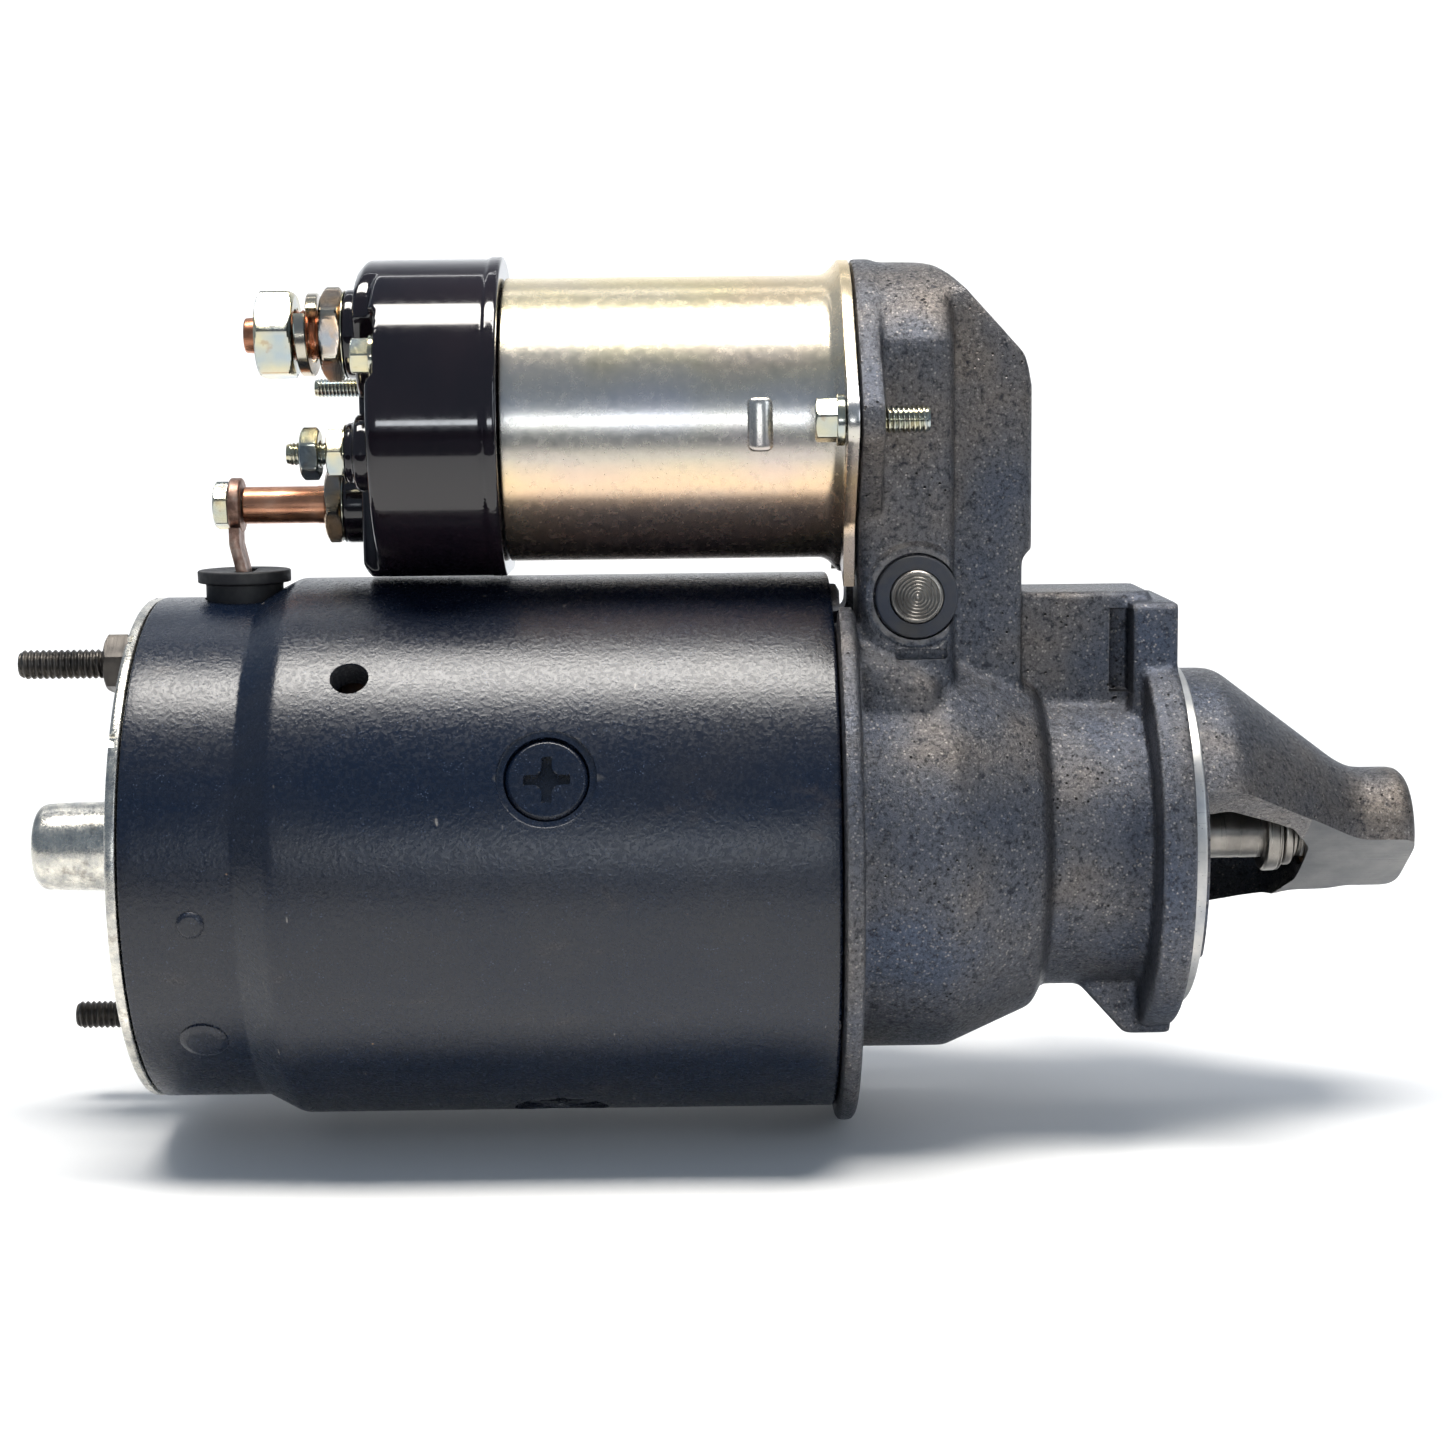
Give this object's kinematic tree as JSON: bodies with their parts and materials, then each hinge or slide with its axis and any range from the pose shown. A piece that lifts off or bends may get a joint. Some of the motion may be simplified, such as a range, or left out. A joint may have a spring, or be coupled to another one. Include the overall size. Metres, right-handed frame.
{
  "type": "starter motor",
  "caption": "Engine starter motor with a solenoid on top, a shift lever, and a pinion that slides along its shaft into a half-open nose.",
  "frame": {"origin": "on the shaft axis, in the plane of the mounting flange face", "axes": "+X along the shaft towards the nose, +Z towards the solenoid"},
  "size_m": [0.2956, 0.1216, 0.1856],
  "materials": {
    "cast_iron": "bare sand-cast iron, brown-grey, open grain",
    "black_paint": "semi-gloss black paint with a fine orange peel",
    "cast_zinc": "rough cast light metal",
    "gold_zinc": "yellow chromated zinc plating",
    "bright_zinc": "pale chromated zinc plating",
    "copper": "bare copper, slightly dulled",
    "steel": "machined steel",
    "dark_steel": "dark oiled steel",
    "phenolic": "glossy black-brown moulded phenolic",
    "rubber": "matte black rubber",
    "bronze": "sintered bronze",
    "carbon": "copper-graphite"
  },
  "bodies": {
    "housing": {"drive_housing": "cast_iron", "nose_bushing": "bronze", "field_frame": "black_paint", "pole_shoe_1": "dark_steel", "pole_screw_1": "black_paint", "pole_shoe_2": "dark_steel", "pole_screw_2": "black_paint", "pole_shoe_3": "dark_steel", "pole_screw_3": "black_paint", "pole_shoe_4": "dark_steel", "pole_screw_4": "black_paint", "field_coils": "copper", "commutator_end_frame": "cast_zinc", "end_bushing": "bronze", "through_bolt_upper": "dark_steel", "through_bolt_nut_upper": "dark_steel", "through_bolt_lower": "dark_steel", "through_bolt_nut_lower": "dark_steel", "brush_plate": "cast_zinc", "lead_grommet": "rubber", "field_lead_strap": "copper", "lever_pivot_pin": "steel", "pivot_seal": "rubber", "solenoid_case": "gold_zinc", "solenoid_winding": "copper", "solenoid_core": "dark_steel", "solenoid_cap": "phenolic", "cap_screw_front": "bright_zinc", "cap_screw_rear": "bright_zinc", "solenoid_screw_front": "bright_zinc", "solenoid_screw_rear": "bright_zinc", "battery_stud": "copper", "battery_nut": "bright_zinc", "battery_lock_washer": "bright_zinc", "battery_jam_nut": "bright_zinc", "motor_stud": "copper", "motor_terminal_nut": "bright_zinc", "motor_terminal_screw": "bright_zinc", "relay_stud": "bright_zinc", "relay_outer_nut": "bright_zinc", "relay_inner_nut": "bright_zinc", "start_stud": "bright_zinc", "plunger_return_spring": "steel"},
    "armature": {"armature_shaft": "steel", "armature_core": "dark_steel", "armature_windings": "copper", "commutator": "copper", "pinion_stop_collar": "steel", "stop_snap_ring": "steel"},
    "drive": {"overrunning_clutch": "steel", "shift_collar": "steel", "drive_spring": "steel"},
    "pinion": {"pinion": "steel"},
    "lever": {"shift_lever": "dark_steel"},
    "plunger": {"plunger": "steel"},
    "contact": {"contact_disc": "copper"},
    "brush_1": {"brush_1": "carbon"},
    "brush_2": {"brush_2": "carbon"},
    "brush_3": {"brush_3": "carbon"},
    "brush_4": {"brush_4": "carbon"}
  },
  "joints": [
    {"name": "armature_spin", "type": "hinge", "parent": "housing", "child": "armature", "pos_m": [0, 0, 0], "axis": [1, 0, 0], "continuous": true},
    {"name": "drive_slide", "type": "slide", "parent": "armature", "child": "drive", "axis": [1, 0, 0], "range_m": [0, 0.0181]},
    {"name": "pinion_overrun", "type": "hinge", "parent": "drive", "child": "pinion", "pos_m": [0, 0, 0], "axis": [1, 0, 0], "continuous": true},
    {"name": "lever_swing", "type": "hinge", "parent": "housing", "child": "lever", "pos_m": [-0.0554, 0, 0.0544], "axis": [0, -1, 0], "range_deg": [0, 19.05]},
    {"name": "plunger_slide", "type": "slide", "parent": "housing", "child": "plunger", "axis": [-1, 0, 0], "range_m": [0, 0.012], "stiffness_N_per_m": 2500, "springref_m": -0.004, "deforming": ["plunger_return_spring"]},
    {"name": "contact_slide", "type": "slide", "parent": "housing", "child": "contact", "axis": [-1, 0, 0], "range_m": [0, 0.0028], "stiffness_N_per_m": 2000, "springref_m": -0.003},
    {"name": "brush_1_slide", "type": "slide", "parent": "housing", "child": "brush_1", "axis": [0, -0.9239, 0.3827], "range_m": [0, 0.004], "stiffness_N_per_m": 400, "springref_m": -0.012},
    {"name": "brush_2_slide", "type": "slide", "parent": "housing", "child": "brush_2", "axis": [0, 0.3827, 0.9239], "range_m": [0, 0.004], "stiffness_N_per_m": 400, "springref_m": -0.012},
    {"name": "brush_3_slide", "type": "slide", "parent": "housing", "child": "brush_3", "axis": [0, 0.9239, -0.3827], "range_m": [0, 0.004], "stiffness_N_per_m": 400, "springref_m": -0.012},
    {"name": "brush_4_slide", "type": "slide", "parent": "housing", "child": "brush_4", "axis": [0, -0.3827, -0.9239], "range_m": [0, 0.004], "stiffness_N_per_m": 400, "springref_m": -0.012}
  ],
  "couplings": [
    {"joint": "drive_slide", "follows": "plunger_slide", "ratio": 1.507},
    {"joint": "lever_swing", "follows": "plunger_slide", "rad_per_m": 27.7},
    {"joint": "contact_slide", "follows": "plunger_slide", "ratio": 0.23333}
  ]
}
